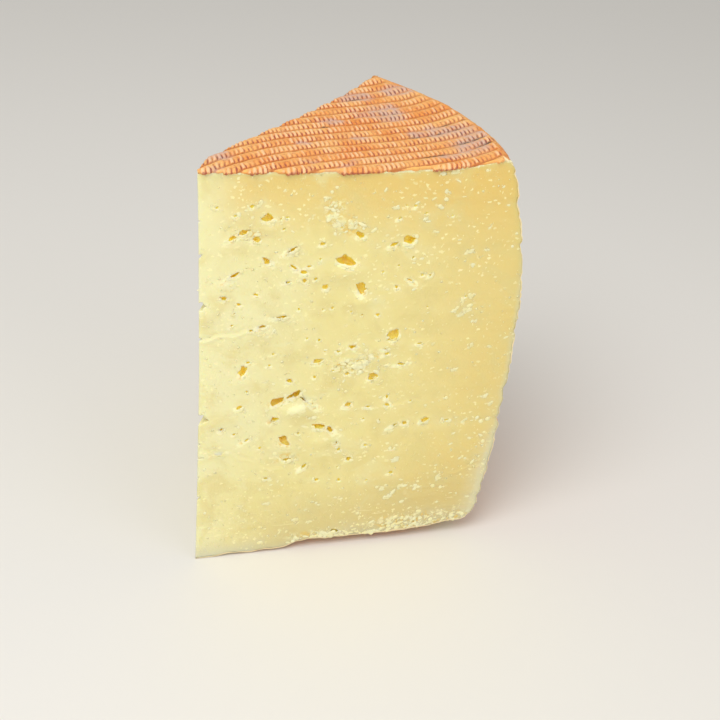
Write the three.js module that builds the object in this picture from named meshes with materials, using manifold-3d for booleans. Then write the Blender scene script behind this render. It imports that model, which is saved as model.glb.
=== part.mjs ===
// A tall wedge cut from a small wheel of hard cheese, standing on its base.
// Millimetres, +Z up. The front cut runs along +X, from the tip to the side rind, and looks along -Y.
import * as THREE from 'three';
import { mergeVertices } from 'three/addons/utils/BufferGeometryUtils.js';
import Module from 'manifold-3d';

// The wheel
const wheelHeight = 106.5;
const bellyRadius = 91;
const bellyHeight = 62;
const topNarrowing = 7.3; // how much the side draws in at the top face
const baseNarrowing = 5;
const topShoulder = 3.6; // radius of the rounded top rim
const baseShoulder = 4.2;
const dishDepth = 1.7; // the top face sinks a little inside its rim
const dishPlace = 0.84; // where the dish is deepest, as a share of the top's radius
const wheelSegments = 160;

// The cut, with the tip at x = 0, y = 0
const tipToWheelCentre = [-11.7, 10.9]; // the knife missed the wheel's centre by a little
const bluntTip = [4, 7.6]; // the back cut bends here, which blunts the tip
const backCutAngle = THREE.MathUtils.degToRad(45.6);
const cutReach = 140; // past the rind on both cuts

// The largest eyes on the front cut:
// [distance from the tip, height, width, height of the eye, tilt in degrees, up towards the rind]
const frontEyes = [
  [47.1, 62.8, 2.7, 2.6, 20],
  [33.8, 82.9, 3.9, 2.2, -22],
  [15.6, 94.3, 2.5, 1.9, -8],
  [48.7, 87.5, 2.7, 2.1, 0],
  [38.1, 75.3, 2, 2.6, 8],
  [21.4, 34.4, 3, 2.2, -28],
  [31.3, 37.6, 4.2, 1.6, -18],
  [22.4, 47, 5.4, 1.6, 26],
  [42.7, 51.6, 2.3, 1.7, 28],
  [10.9, 55.1, 1.6, 2.3, -8],
];
const eyeDepth = 1.6;

const pasteMaterial = new THREE.MeshStandardMaterial({
  name: 'cheese',
  color: 0xf0e1a0,
  roughness: 0.55,
  metalness: 0,
});

const wasm = await Module();
wasm.setup();

function toSolid(geometry) {
  const bare = geometry.clone();
  bare.deleteAttribute('normal');
  bare.deleteAttribute('uv');
  const merged = mergeVertices(bare, 1e-4);
  const mesh = new wasm.Mesh({
    numProp: 3,
    vertProperties: new Float32Array(merged.attributes.position.array),
    triVerts: new Uint32Array(merged.index.array),
  });
  return new wasm.Manifold(mesh);
}

function toGeometry(solid) {
  const mesh = solid.getMesh();
  const geometry = new THREE.BufferGeometry();
  geometry.setAttribute('position', new THREE.BufferAttribute(mesh.vertProperties, mesh.numProp));
  geometry.setIndex(new THREE.BufferAttribute(mesh.triVerts, 1));
  geometry.computeVertexNormals();
  return geometry;
}

// The barrel side: widest at the belly, drawn in towards both faces
function sideRadius(height) {
  const above = height > bellyHeight;
  const span = above ? wheelHeight - bellyHeight : bellyHeight;
  const narrowing = above ? topNarrowing : baseNarrowing;
  return bellyRadius - narrowing * ((height - bellyHeight) / span) ** 2;
}

// A quarter round between a flat face and the side, from one angle to the other
function shoulder(centreRadius, centreHeight, radius, fromAngle, toAngle) {
  const steps = 5;
  const points = [];
  for (let step = 0; step <= steps; step += 1) {
    const angle = fromAngle + ((toAngle - fromAngle) * step) / steps;
    points.push(new THREE.Vector2(
      centreRadius + radius * Math.cos(angle),
      centreHeight + radius * Math.sin(angle),
    ));
  }
  return points;
}

function wheelSolid() {
  const sideSteps = 9;
  const baseRim = sideRadius(baseShoulder) - baseShoulder;
  const topRim = sideRadius(wheelHeight - topShoulder) - topShoulder;
  const sideFoot = baseShoulder;
  const sideHead = wheelHeight - topShoulder;
  const profile = [new THREE.Vector2(0, 0)];
  profile.push(...shoulder(baseRim, baseShoulder, baseShoulder, -Math.PI / 2, 0));
  for (let step = 1; step < sideSteps; step += 1) {
    const height = sideFoot + ((sideHead - sideFoot) * step) / sideSteps;
    profile.push(new THREE.Vector2(sideRadius(height), height));
  }
  profile.push(...shoulder(topRim, sideHead, topShoulder, 0, Math.PI / 2));
  const dish = new THREE.QuadraticBezierCurve(
    new THREE.Vector2(topRim, wheelHeight),
    new THREE.Vector2(topRim * dishPlace, wheelHeight - 2 * dishDepth),
    new THREE.Vector2(0, wheelHeight),
  );
  profile.push(...dish.getPoints(6).slice(1));
  const lathe = new THREE.LatheGeometry(profile, wheelSegments);
  lathe.rotateX(Math.PI / 2); // the lathe turns about Y, the wheel stands on Z
  lathe.translate(tipToWheelCentre[0], tipToWheelCentre[1], 0);
  return toSolid(lathe);
}

// The space between the two cuts
function cutSolid() {
  const outline = new THREE.Shape();
  outline.moveTo(0, 0);
  outline.lineTo(cutReach, 0);
  outline.lineTo(
    bluntTip[0] + cutReach * Math.cos(backCutAngle),
    bluntTip[1] + cutReach * Math.sin(backCutAngle),
  );
  outline.lineTo(bluntTip[0], bluntTip[1]);
  outline.closePath();
  const prism = new THREE.ExtrudeGeometry(outline, {
    depth: wheelHeight + 20,
    bevelEnabled: false,
  });
  prism.translate(0, 0, -10);
  return toSolid(prism);
}

function eyeSolid([along, height, width, tall, tilt]) {
  const eye = new THREE.SphereGeometry(0.5, 10, 8);
  eye.scale(width, 2 * eyeDepth, tall);
  eye.rotateY(THREE.MathUtils.degToRad(-tilt));
  eye.translate(along, 0, height);
  return toSolid(eye);
}

function cheeseWedge() {
  let wedge = wheelSolid().intersect(cutSolid());
  for (const eye of frontEyes) {
    wedge = wedge.subtract(eyeSolid(eye));
  }
  const geometry = toGeometry(wedge);
  geometry.computeBoundingBox();
  const centre = geometry.boundingBox.getCenter(new THREE.Vector3());
  geometry.translate(-centre.x, -centre.y, 0); // the origin is under the middle of the wedge
  const mesh = new THREE.Mesh(geometry, pasteMaterial);
  mesh.name = 'cheese_wedge';
  return mesh;
}

const cheese = new THREE.Group();
cheese.add(cheeseWedge());

export default cheese;
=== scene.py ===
import math

import bmesh
import bpy
import numpy as np
from mathutils import Matrix, Vector


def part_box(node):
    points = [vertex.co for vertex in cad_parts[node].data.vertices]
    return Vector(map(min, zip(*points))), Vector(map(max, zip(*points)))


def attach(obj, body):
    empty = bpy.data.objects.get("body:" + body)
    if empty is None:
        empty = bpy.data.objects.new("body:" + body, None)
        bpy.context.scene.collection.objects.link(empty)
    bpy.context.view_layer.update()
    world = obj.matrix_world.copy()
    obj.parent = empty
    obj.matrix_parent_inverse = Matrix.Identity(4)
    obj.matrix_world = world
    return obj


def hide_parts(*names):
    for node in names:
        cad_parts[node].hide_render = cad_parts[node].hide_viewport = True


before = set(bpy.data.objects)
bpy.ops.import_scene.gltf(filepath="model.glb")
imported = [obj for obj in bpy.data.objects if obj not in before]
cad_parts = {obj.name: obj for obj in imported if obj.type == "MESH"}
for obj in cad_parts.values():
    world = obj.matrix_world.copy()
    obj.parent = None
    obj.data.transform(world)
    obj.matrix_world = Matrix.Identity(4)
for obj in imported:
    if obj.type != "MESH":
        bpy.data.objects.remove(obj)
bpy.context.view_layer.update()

# A tall wedge of hard cheese. The script thinks in millimetres from the wedge's tip, as the CAD does:
# x runs along the front cut, y into the cheese, z up. toFrame turns that into metres in the frame.
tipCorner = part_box("cheese_wedge")[0]
mm = 0.001

wheel = {
    "height": 106.5,
    "bellyRadius": 91.0,
    "bellyHeight": 62.0,
    "topNarrowing": 7.3,
    "baseNarrowing": 5.0,
    "topShoulder": 3.6,
    "baseShoulder": 4.2,
    "dishDepth": 1.7,
    "dishPlace": 0.84,
    "centre": (-11.7, 10.9),
    "bluntTip": (4.0, 7.6),
    "backCutAngle": math.radians(45.6),
}
wheelCentre = np.array(wheel["centre"])
bluntTip = np.array(wheel["bluntTip"])
backAlong = np.array([math.cos(wheel["backCutAngle"]), math.sin(wheel["backCutAngle"])])
backInward = np.array([backAlong[1], -backAlong[0]])


def toFrame(points):
    return np.asarray(points, float) * mm + np.array([tipCorner.x, tipCorner.y, 0.0])


def colour(code):
    # sRGB hex to the linear colour that the sockets hold
    parts = [int(code[i:i + 2], 16) / 255 for i in (1, 3, 5)]
    return tuple(p / 12.92 if p <= 0.04045 else ((p + 0.055) / 1.055) ** 2.4 for p in parts) + (1.0,)


def smooth(low, high, value):
    share = np.clip((np.asarray(value, float) - low) / (high - low), 0, 1)
    return share * share * (3 - 2 * share)


def latticeNoise(points, size, seed):
    # smooth noise from -1 to 1 that repeats nowhere near the wedge; size is the lump size in mm
    place = np.asarray(points, float) / size + seed * 17.31
    cell = np.floor(place).astype(np.int64)
    part = place - cell
    blend = part * part * (3 - 2 * part)
    axes = place.shape[1]
    total = np.zeros(len(place))
    for corner in range(2 ** axes):
        step = np.array([(corner >> axis) & 1 for axis in range(axes)])
        key = (cell + step) @ np.array([73856093, 19349663, 83492791])[:axes]
        key = (key ^ (key >> 13)) * 1274126177
        value = ((key ^ (key >> 16)) & 0xFFFF) / 32767.5 - 1
        total += value * np.prod(np.where(step == 1, blend, 1 - blend), axis=1)
    return total


# the wheel's shape

wear = {
    "baseLifts": [[21, 28, 1.9], [44, 62, 0.5], [60, 67, 1.3], [71, 76, 1.0]],  # from x, to x, rise
    "baseReach": 9,  # how far in from the front cut the lift fades
    "baseLumps": [[0.3, 1.6, 5], [0.3, 4.5, 9]],  # height, lump size, seed
    "baseRise": 0.45,
    "sideLumps": [[0.4, 2.1, 41], [0.35, 5.5, 43], [0.25, 0.9, 47]],
    "sideWorn": 0.3,
    "sideSharpness": 13,  # how fast the wear fades along the arc
}


def sideRadius(height):
    belly = wheel["bellyHeight"]
    above = height > belly
    span = np.where(above, wheel["height"] - belly, belly)
    narrowing = np.where(above, wheel["topNarrowing"], wheel["baseNarrowing"])
    return wheel["bellyRadius"] - narrowing * ((height - belly) / span) ** 2


sideHead = wheel["height"] - wheel["topShoulder"]
sideFoot = wheel["baseShoulder"]
topRim = float(sideRadius(sideHead)) - wheel["topShoulder"]
baseRim = float(sideRadius(sideFoot)) - wheel["baseShoulder"]


def topHeight(plan):
    # the dished top face
    reach = np.hypot(*(np.asarray(plan, float) - wheelCentre).T[:2])
    place = wheel["dishPlace"]
    a = 1 - 2 * place
    b = 2 * place - 2
    c = 1 - np.clip(reach / topRim, 0, 1)
    t = (-b - np.sqrt(np.maximum(b * b - 4 * a * c, 0))) / (2 * a)
    return wheel["height"] - 4 * wheel["dishDepth"] * t * (1 - t)


def baseHeight(plan):
    # the base lifts a little along the front, where the knife met it, and stays flat behind
    plan = np.asarray(plan, float)
    x = plan[:, 0]
    lift = sum(rise * smooth(low, high, x) for low, high, rise in wear["baseLifts"])
    near = np.exp(-(np.maximum(plan[:, 1], 0) / wear["baseReach"]) ** 2)
    ragged = sum(size * latticeNoise(plan[:, :2], lump, seed) for size, lump, seed in wear["baseLumps"])
    return (lift + (ragged + wear["baseRise"]) * smooth(1, 6, x)) * near


def arcEnds(radius):
    front = -math.asin(wheelCentre[1] / radius)
    gap = bluntTip - wheelCentre
    along = gap @ backAlong
    reach = -along + math.sqrt(along * along - gap @ gap + radius * radius)
    end = gap + backAlong * reach
    return front, math.atan2(end[1], end[0])


def sideWobble(height, shares):
    # the side crumbled a little where the front cut meets it
    spot = np.array([[float(height), 2.0]])
    lumpy = [size * latticeNoise(spot, lump, seed)[0] for size, lump, seed in wear["sideLumps"]]
    worn = lumpy[0] + lumpy[1] + wear["sideWorn"] + lumpy[2]
    return max(0.0, worn) * np.exp(-(shares * wear["sideSharpness"]) ** 2)


def arcPoints(radius, shares, height=None):
    front, back = arcEnds(radius)
    angle = front + (back - front) * shares
    if height is not None:
        radius = (radius - sideWobble(height, shares))[:, None]
    return wheelCentre + radius * np.stack([np.cos(angle), np.sin(angle)], axis=1)


# mesh building: rows of points joined by bands of faces

def storeNote(mesh, label, values):
    vector = values.ndim == 2
    store = mesh.attributes.new(label, "FLOAT_VECTOR" if vector else "FLOAT", "POINT")
    store.data.foreach_set("vector" if vector else "value", values.ravel())


def addObject(name, data):
    made = bpy.data.objects.new(name, data)
    bpy.context.scene.collection.objects.link(made)
    return made


class Skin:
    def __init__(self):
        self.rows = []
        self.faces = []
        self.notes = []
        self.count = 0

    def row(self, points, **notes):
        ids = np.arange(self.count, self.count + len(points))
        self.rows.append(np.asarray(points, float))
        self.notes.append(notes)
        self.count += len(points)
        return ids

    def band(self, a, b, closed=False):
        if closed:
            a, b = np.append(a, a[0]), np.append(b, b[0])
        self.faces += np.stack([a[:-1], a[1:], b[1:], b[:-1]], axis=1).tolist()

    def zipped(self, a, b):
        # joins two rows of different counts with triangles
        i = j = 0
        while i < len(a) - 1 or j < len(b) - 1:
            behind = (i + 1) * (len(b) - 1) <= (j + 1) * (len(a) - 1)
            if j == len(b) - 1 or (i < len(a) - 1 and behind):
                self.faces.append([int(a[i]), int(a[i + 1]), int(b[j])])
                i += 1
            else:
                self.faces.append([int(a[i]), int(b[j + 1]), int(b[j])])
                j += 1

    def fan(self, ring, middle):
        ring = np.append(ring, ring[0])
        self.faces += [[int(p), int(q), int(middle)] for p, q in zip(ring[:-1], ring[1:])]

    def build(self, name):
        points = np.concatenate(self.rows)
        mesh = bpy.data.meshes.new(name)
        mesh.from_pydata(toFrame(points).tolist(), [], self.faces)
        for label in self.notes[0]:
            storeNote(mesh, label, np.concatenate([np.asarray(n[label], float) for n in self.notes]))
        work = bmesh.new()
        work.from_mesh(mesh)
        bmesh.ops.recalc_face_normals(work, faces=work.faces)
        work.to_mesh(mesh)
        work.free()
        mesh.shade_smooth()
        return addObject(name, mesh)


# node helpers, for geometry and materials alike

class Wire:
    # a node's output; sums of wires and numbers make the math nodes
    def __init__(self, socket):
        self.socket = socket
        self.tree = socket.id_data

    def __add__(self, other):
        return calc("ADD", self, other)

    def __sub__(self, other):
        return calc("SUBTRACT", self, other)

    def __rsub__(self, other):
        return calc("SUBTRACT", other, self)

    def __mul__(self, other):
        return calc("MULTIPLY", self, other)

    def __truediv__(self, other):
        return calc("DIVIDE", self, other)

    def __pow__(self, other):
        return calc("POWER", self, other)


def fill(socket, value):
    if isinstance(value, Wire):
        value.tree.links.new(value.socket, socket)
    elif value is not None:
        socket.default_value = value


def put(tree, kind, settings=None, **sockets):
    made = tree.nodes.new(kind)
    for label, value in (settings or {}).items():
        setattr(made, label, value)
    for label, value in sockets.items():
        fill(made.inputs[label.replace("_", " ")], value)
    return made


def get(tree, kind, settings=None, give=0, **sockets):
    return Wire(put(tree, kind, settings, **sockets).outputs[give])


def calc(operation, *values, clamp=False):
    tree = next(value.tree for value in values if isinstance(value, Wire))
    made = put(tree, "ShaderNodeMath", {"operation": operation, "use_clamp": clamp})
    for socket, value in zip(made.inputs, values):
        fill(socket, value)
    return Wire(made.outputs[0])


def vectorCalc(operation, *values):
    made = put(values[0].tree, "ShaderNodeVectorMath", {"operation": operation})
    for socket, value in zip(made.inputs, values):
        fill(socket, value)
    return Wire(made.outputs["Value" if operation == "DOT_PRODUCT" else "Vector"])


def scaled(vector, factor):
    return get(vector.tree, "ShaderNodeVectorMath", {"operation": "SCALE"}, Vector=vector, Scale=factor)


def stepUp(value, low, high, start=0.0, end=1.0):
    return get(value.tree, "ShaderNodeMapRange", {"interpolation_type": "SMOOTHSTEP"}, Value=value,
               From_Min=low, From_Max=high, To_Min=start, To_Max=end)


def lumps(vector, size, detail=2.0, rough=0.5, twist=0.0):
    # noise about 0, with lumps of the given size in metres
    return get(vector.tree, "ShaderNodeTexNoise", Vector=vector, Scale=1 / size, Detail=detail,
               Roughness=rough, Distortion=twist) - 0.5


def stirring(vector, size, factor):
    # a vector noise about 0
    noise = get(vector.tree, "ShaderNodeTexNoise", give="Color", Vector=vector, Scale=1 / size, Detail=2.0)
    return scaled(vectorCalc("SUBTRACT", noise, (0.5, 0.5, 0.5)), factor)


def newGeometryTree(name, inputs):
    tree = bpy.data.node_groups.new(name, "GeometryNodeTree")
    tree.interface.new_socket("Geometry", in_out="INPUT", socket_type="NodeSocketGeometry")
    for label, (kind, value) in inputs.items():
        socket = tree.interface.new_socket(label, in_out="INPUT", socket_type="NodeSocket" + kind)
        if value is not None:
            socket.default_value = value
    tree.interface.new_socket("Geometry", in_out="OUTPUT", socket_type="NodeSocketGeometry")
    start = tree.nodes.new("NodeGroupInput")
    return tree, {label: Wire(start.outputs[label]) for label in ("Geometry", *inputs)}


def readNote(tree, name, kind="FLOAT"):
    return get(tree, "GeometryNodeInputNamedAttribute", {"data_type": kind}, give="Attribute", Name=name)


def moveAndFinish(geometry, offset, finish):
    moved = get(geometry.tree, "GeometryNodeSetPosition", Geometry=geometry, Offset=offset)
    return finishTree(moved, finish)


def finishTree(geometry, finish, chosen=None):
    tree = geometry.tree
    solid = get(tree, "GeometryNodeRealizeInstances", Geometry=geometry)
    painted = get(tree, "GeometryNodeSetMaterial", Geometry=solid, Selection=chosen, Material=finish)
    put(tree, "NodeGroupOutput", Geometry=painted)
    return tree


def runTree(piece, tree, values, name=None):
    # runs the tree on the piece and gives back a plain object with the result
    modifier = piece.modifiers.new(tree.name, "NODES")
    modifier.node_group = tree
    for item in tree.interface.items_tree:
        if item.item_type == "SOCKET" and item.in_out == "INPUT" and item.name in values:
            modifier[item.identifier] = values[item.name]
    evaluated = piece.evaluated_get(bpy.context.evaluated_depsgraph_get())
    mesh = bpy.data.meshes.new_from_object(evaluated)
    piece.modifiers.remove(modifier)
    if name is None:
        old = piece.data
        piece.data = mesh
        bpy.data.meshes.remove(old)
        mesh.name = piece.name
        return piece
    mesh.name = name
    return addObject(name, mesh)


# the camera

camera = {
    "place": (-33.09, -240.74, 205.5),  # mm from the tip
    "azimuth": math.radians(16.72),
    "elevation": math.radians(30.7),
    "roll": math.radians(4.87),
    "lens": 61.03,
}


def addCamera():
    azimuth, elevation, roll = camera["azimuth"], camera["elevation"], camera["roll"]
    forward = Vector((math.sin(azimuth) * math.cos(elevation),
                      math.cos(azimuth) * math.cos(elevation), -math.sin(elevation)))
    right = Vector((math.cos(azimuth), -math.sin(azimuth), 0))
    up = right.cross(forward)
    sideways = right * math.cos(roll) + up * math.sin(roll)
    upright = up * math.cos(roll) - right * math.sin(roll)
    lens = bpy.data.cameras.new("camera")
    lens.lens = camera["lens"]
    lens.clip_start = 0.01
    eye = addObject("camera", lens)
    turn = Matrix((sideways, upright, -forward)).transposed().to_4x4()
    eye.matrix_world = Matrix.Translation(Vector(toFrame([camera["place"]])[0])) @ turn
    bpy.context.scene.camera = eye


addCamera()
print("camera placed")

# the eyes: small angular openings where curd grains did not knit

# [x, z, width, height, tilt in degrees, [extra lobe: dx, dz, width, height, tilt], ...]
frontEyes = [
    [15.6, 94.3, 2.5, 1.9, -8], [11.9, 97.2, 0.9, 0.8, 0], [10.1, 91.0, 2.4, 1.2, 18],
    [7.7, 89.6, 1.7, 0.8, 20], [13.0, 89.3, 1.7, 1.3, -10, [0.9, -0.2, 1.0, 0.5, 0]],
    [37.0, 89.2, 1.9, 1.3, -20], [45.1, 86.7, 1.7, 1.0, 25], [48.7, 87.5, 2.7, 2.1, 0],
    [21.3, 86.3, 2.8, 0.8, 32], [28.3, 87.4, 1.1, 0.7, 20], [15.6, 83.7, 2.3, 1.2, -28],
    [8.4, 80.6, 3.2, 0.8, 32], [21.8, 82.0, 1.9, 0.6, -38], [24.2, 80.5, 1.5, 1.0, -20],
    [24.6, 78.4, 1.0, 1.1, 0], [25.4, 82.0, 1.3, 0.5, 0], [20.6, 78.3, 1.4, 0.6, 0],
    [33.8, 82.9, 3.9, 2.2, -22, [-2.4, 0.9, 1.5, 0.5, -5]],
    [29.6, 76.4, 1.2, 1.2, 0, [0.8, -1.0, 1.2, 0.9, -20]],
    [38.1, 75.3, 2.0, 2.6, 8, [1.4, -1.2, 1.2, 0.5, -15], [-1.0, 1.4, 1.0, 0.7, -35]],
    [6.2, 75.0, 2.1, 0.9, -4], [13.5, 75.4, 1.2, 0.7, 0], [9.5, 73.1, 1.2, 0.6, -38],
    [46.6, 75.6, 0.7, 1.1, 20], [49.5, 77.3, 1.8, 0.5, -32], [52.6, 78.4, 0.7, 0.5, 20],
    [54.6, 78.2, 0.9, 0.4, 20], [19.6, 69.3, 3.6, 0.6, 2], [15.1, 67.0, 2.2, 0.9, 12],
    [12.5, 66.2, 0.9, 0.5, 0], [28.8, 62.5, 0.8, 0.8, 0], [37.1, 60.1, 1.9, 1.0, -10],
    [47.1, 62.8, 2.7, 2.6, 20, [-1.3, -1.3, 1.4, 0.8, 35]], [53.8, 59.8, 1.3, 0.4, 5],
    [45.2, 59.0, 1.3, 0.5, 0], [45.8, 57.5, 1.4, 0.6, 10],
    [28.5, 56.6, 2.0, 1.1, 5, [1.5, 0.5, 1.8, 0.4, 15]],
    [10.9, 55.1, 1.6, 2.3, -8, [-0.6, -1.2, 1.2, 0.5, 50]], [12.1, 57.6, 1.1, 0.6, 0],
    [49.6, 54.3, 2.3, 0.6, 3], [42.7, 51.6, 2.3, 1.7, 28], [36.3, 52.7, 1.1, 0.8, 0],
    [22.3, 51.8, 1.6, 1.1, 0],
    [19.5, 46.1, 3.0, 2.2, 15, [-0.7, -1.5, 1.2, 1.6, -20], [1.6, 0.9, 1.6, 0.6, 20]],
    [23.2, 47.4, 4.6, 1.4, 28], [26.6, 45.9, 4.4, 0.9, -42], [10.3, 45.2, 1.5, 0.9, 15],
    [37.0, 43.7, 1.9, 1.2, 28], [42.3, 42.6, 1.5, 0.5, 0], [46.8, 45.2, 0.7, 1.2, 0],
    [47.2, 42.8, 1.5, 0.7, -25, [-0.5, 0.5, 0.7, 1.4, 10]], [18.8, 41.0, 2.1, 1.1, 18],
    [6.0, 39.2, 1.0, 1.4, -10], [30.5, 38.0, 2.9, 1.6, -6], [33.1, 36.8, 2.2, 1.1, -38],
    [21.4, 34.4, 3.0, 2.2, -28, [-0.8, 1.1, 1.2, 1.6, 15]], [12.3, 35.6, 1.7, 0.5, 28],
    [5.5, 32.3, 2.3, 0.5, 4], [22.7, 28.9, 1.7, 1.0, 0, [1.6, 0.7, 2.6, 0.5, 22]],
    [26.9, 26.3, 2.0, 0.7, 48], [34.8, 32.8, 0.8, 1.4, 0], [35.6, 30.6, 0.8, 1.0, 10],
    [38.3, 27.5, 1.5, 1.3, -10], [52.2, 36.9, 1.5, 1.0, 10], [49.6, 36.6, 1.7, 0.4, 30],
    [57.4, 37.3, 2.0, 1.1, 28], [63.2, 36.8, 1.5, 0.5, 0], [30.4, 21.8, 1.0, 0.7, 0],
    [49.9, 21.8, 1.3, 0.7, 0], [17.5, 23.6, 1.2, 0.6, -15], [36.3, 21.0, 0.9, 0.8, 0],
    [36.3, 4.6, 2.0, 0.9, -5],
]

# notches in the tip edge: [z, how far in, height]
tipNotches = [
    [73.2, 1.5, 1.9], [64.6, 0.8, 0.9], [85.6, 0.55, 1.0], [43.0, 2.1, 2.3], [35.6, 0.4, 0.5],
    [31.4, 1.3, 0.35], [19.3, 0.6, 1.3], [94.0, 0.3, 0.5], [25.5, 0.3, 0.5],
]

eyeHabit = {
    "smallOnFront": 46,
    "onBack": 95,
    "seed": 4,
    "shallowest": 0.3,  # mm, half the depth of the smallest
    "deepest": 0.8,
    "depthShare": 0.32,
    "swell": 1.5,
    "facets": 12,
    "tailShare": 0.75,  # how many of the larger ones end in a tail
    "wander": 0.26,
    "depthSpread": (0.8, 1.2),
    "facetCut": (0.5, 0.85),  # how much of the blob a facet leaves
    "sink": 0.12,  # of the size, how far in from the cut the middle lies
    "largeFrom": 1.5,  # mm, above which an eye gets the finer mesh
    "tries": 20000,
}


def tiltTurn(tilt):
    cosine, sine = math.cos(tilt), math.sin(tilt)
    return np.array([[cosine, 0, sine], [0, 1, 0], [-sine, 0, cosine]])


def ellipsoidExit(directions, centre, half, tilt):
    # how far a ray from the origin goes before it leaves a turned ellipsoid, 0 if it misses
    turn = tiltTurn(tilt)
    ray = (directions @ turn.T) / half
    start = (turn @ np.asarray(centre)) / half
    a = (ray * ray).sum(1)
    b = ray @ start
    inside = b * b - a * (start @ start - 1)
    return np.where(inside > 0, (b + np.sqrt(np.maximum(inside, 0))) / a, 0)


def eyeBlob(eye, seed, fineness):
    # an angular blob in local axes: x right, y into the paste, z up
    rng = np.random.default_rng(seed)
    work = bmesh.new()
    bmesh.ops.create_icosphere(work, subdivisions=fineness, radius=1)
    directions = np.array([v.co for v in work.verts])
    faces = [[v.index for v in f.verts] for f in work.faces]
    work.free()
    width, height, tilt = eye[2], eye[3], math.radians(eye[4])
    depth = eyeHabit["depthShare"] * math.sqrt(width * height) * rng.uniform(*eyeHabit["depthSpread"])
    depth = float(np.clip(depth, eyeHabit["shallowest"], eyeHabit["deepest"]))
    half = np.array([width / 2, depth, height / 2]) * eyeHabit["swell"]
    reach = ellipsoidExit(directions, (0, 0, 0), half, tilt)
    plain = (directions @ tiltTurn(tilt).T) / half
    for facet in range(eyeHabit["facets"]):
        normal = rng.normal(size=3) * (1, 0.4, 1)
        normal /= np.linalg.norm(normal)
        facing = plain @ normal
        limit = rng.uniform(*eyeHabit["facetCut"])
        reach = np.where(facing > 0.05, np.minimum(reach, limit / np.maximum(facing, 0.05)), reach)
    tails = list(eye[5:])
    for side in (-1, 1):
        if max(width, height) > 1.1 and rng.random() < eyeHabit["tailShare"]:
            away = side * width * rng.uniform(0.45, 0.62)
            tails.append([away * math.cos(tilt), away * math.sin(tilt) + rng.uniform(-0.3, 0.3) * height,
                          width * rng.uniform(0.3, 0.5), height * rng.uniform(0.18, 0.4),
                          eye[4] + rng.uniform(-25, 25)])
    for lobe in tails:
        lobeHalf = np.array([lobe[2] / 2, depth * 0.7, lobe[3] / 2])
        lobeReach = ellipsoidExit(directions, (lobe[0], 0, lobe[1]), lobeHalf, math.radians(lobe[4]))
        reach = np.maximum(reach, lobeReach)
    reach = reach * (1 + eyeHabit["wander"] * latticeNoise(directions, 0.4, seed))
    return directions * reach[:, None], faces


def placeEye(blob, origin, right, inward):
    points = blob[:, :1] * right + blob[:, 1:2] * inward + blob[:, 2:] * np.array([0, 0, 1.0])
    return points + origin


def strewEyes(count, low, high, sizes, taken, seed, clear):
    # random small eyes that keep clear of the ones already there
    rng = np.random.default_rng(seed)
    made = []
    tries = 0
    while len(made) < count and tries < eyeHabit["tries"]:
        tries += 1
        x = rng.uniform(low[0], high[0])
        z = rng.uniform(low[1], high[1])
        middle = math.exp(-((z - 60) / 42) ** 2 - ((x - 27) / 30) ** 2)
        if rng.random() > 0.15 + 0.85 * middle:
            continue
        width = sizes[0] + (sizes[1] - sizes[0]) * rng.random() ** 2.4
        height = max(0.4, width * rng.uniform(0.35, 1.0))
        reach = width * 0.65
        if any(math.hypot(x - other[0], z - other[1]) < reach + 0.75 * max(other[2], other[3]) + clear
               for other in taken + made):
            continue
        made.append([x, z, width, height, rng.uniform(-10, 40)])
    return made


def addCutters(eyeSkin):
    cutters = Skin()
    for spot, origin, right, inward, eyes in eyeSkin:
        for index, eye in enumerate(eyes):
            size = max(eye[2], eye[3])
            blob, faces = eyeBlob(eye, spot * 500 + index, 3 if size > eyeHabit["largeFrom"] else 2)
            start = origin + right * eye[0] + inward * (eyeHabit["sink"] * size) + np.array([0, 0, eye[1]])
            first = cutters.row(placeEye(blob, start, right, inward))[0]
            cutters.faces += [[int(first + i) for i in face] for face in faces]
    return cutters.build("eye_cutters")


def addNotches():
    notches = Skin()
    for index, (z, inwards, height) in enumerate(tipNotches):
        blob, faces = eyeBlob([0, 0, 2 * inwards, height, 0], 900 + index, 3)
        blob = blob * (1, 20 / np.ptp(blob[:, 1]), 1)
        edge = paste["tipBow"] * math.sin(math.pi * z / wheel["height"])
        first = notches.row(placeEye(blob, (edge + 1.5, 4.5, z), frontRight, np.array([0.3, 0.95, 0])))[0]
        notches.faces += [[int(first + i) for i in face] for face in faces]
    return notches.build("notch_cutters")


backStart = np.array([*bluntTip, 0.0])
backRight = np.array([*backAlong, 0.0])
backIn = np.array([*backInward, 0.0])
frontRight = np.array([1.0, 0, 0])
frontIn = np.array([0, 1.0, 0])
allFrontEyes = frontEyes + strewEyes(
    eyeHabit["smallOnFront"], (3, 18), (66, 100), (0.4, 1.0), frontEyes, eyeHabit["seed"], 0.5)
backEyes = strewEyes(eyeHabit["onBack"], (3, 10), (66, 100), (0.6, 3.6), [], eyeHabit["seed"] + 1, 0.5)

# the paste: both cut faces, closed under the rind

paste = {
    "levels": 256,
    "alongFront": 206,
    "alongBack": 58,
    "aroundRim": 14,
    "underRind": 0.45,
    "atEdges": 0.1,
    "underTop": 0.6,
    "topEdgeRise": 0.4,
    "tipBow": 0.6,
    "lipHeight": 0.16,
    "waviness": 0.2,
    "ripple": 0.05,
    "tearing": 0.42,
    "tearSize": 1.8,
    "grain": 0.02,
}

# soft folds left by the knife: [x0, z0, x1, z1, height, half width]
knifeFolds = [
    [0, 64.0, 12, 65.6, 0.22, 0.45], [2, 33.0, 9, 31.6, 0.14, 0.4], [9, 31.6, 16, 27.2, 0.14, 0.4],
    [16, 27.2, 22, 25.4, 0.14, 0.4], [31, 55.2, 39, 57.4, 0.12, 0.4], [66, 20.0, 76, 22.4, 0.15, 0.35],
    [48, 17.8, 62, 15.6, 0.08, 0.3], [48, 42.6, 56, 43.4, 0.12, 0.35],
]
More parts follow.
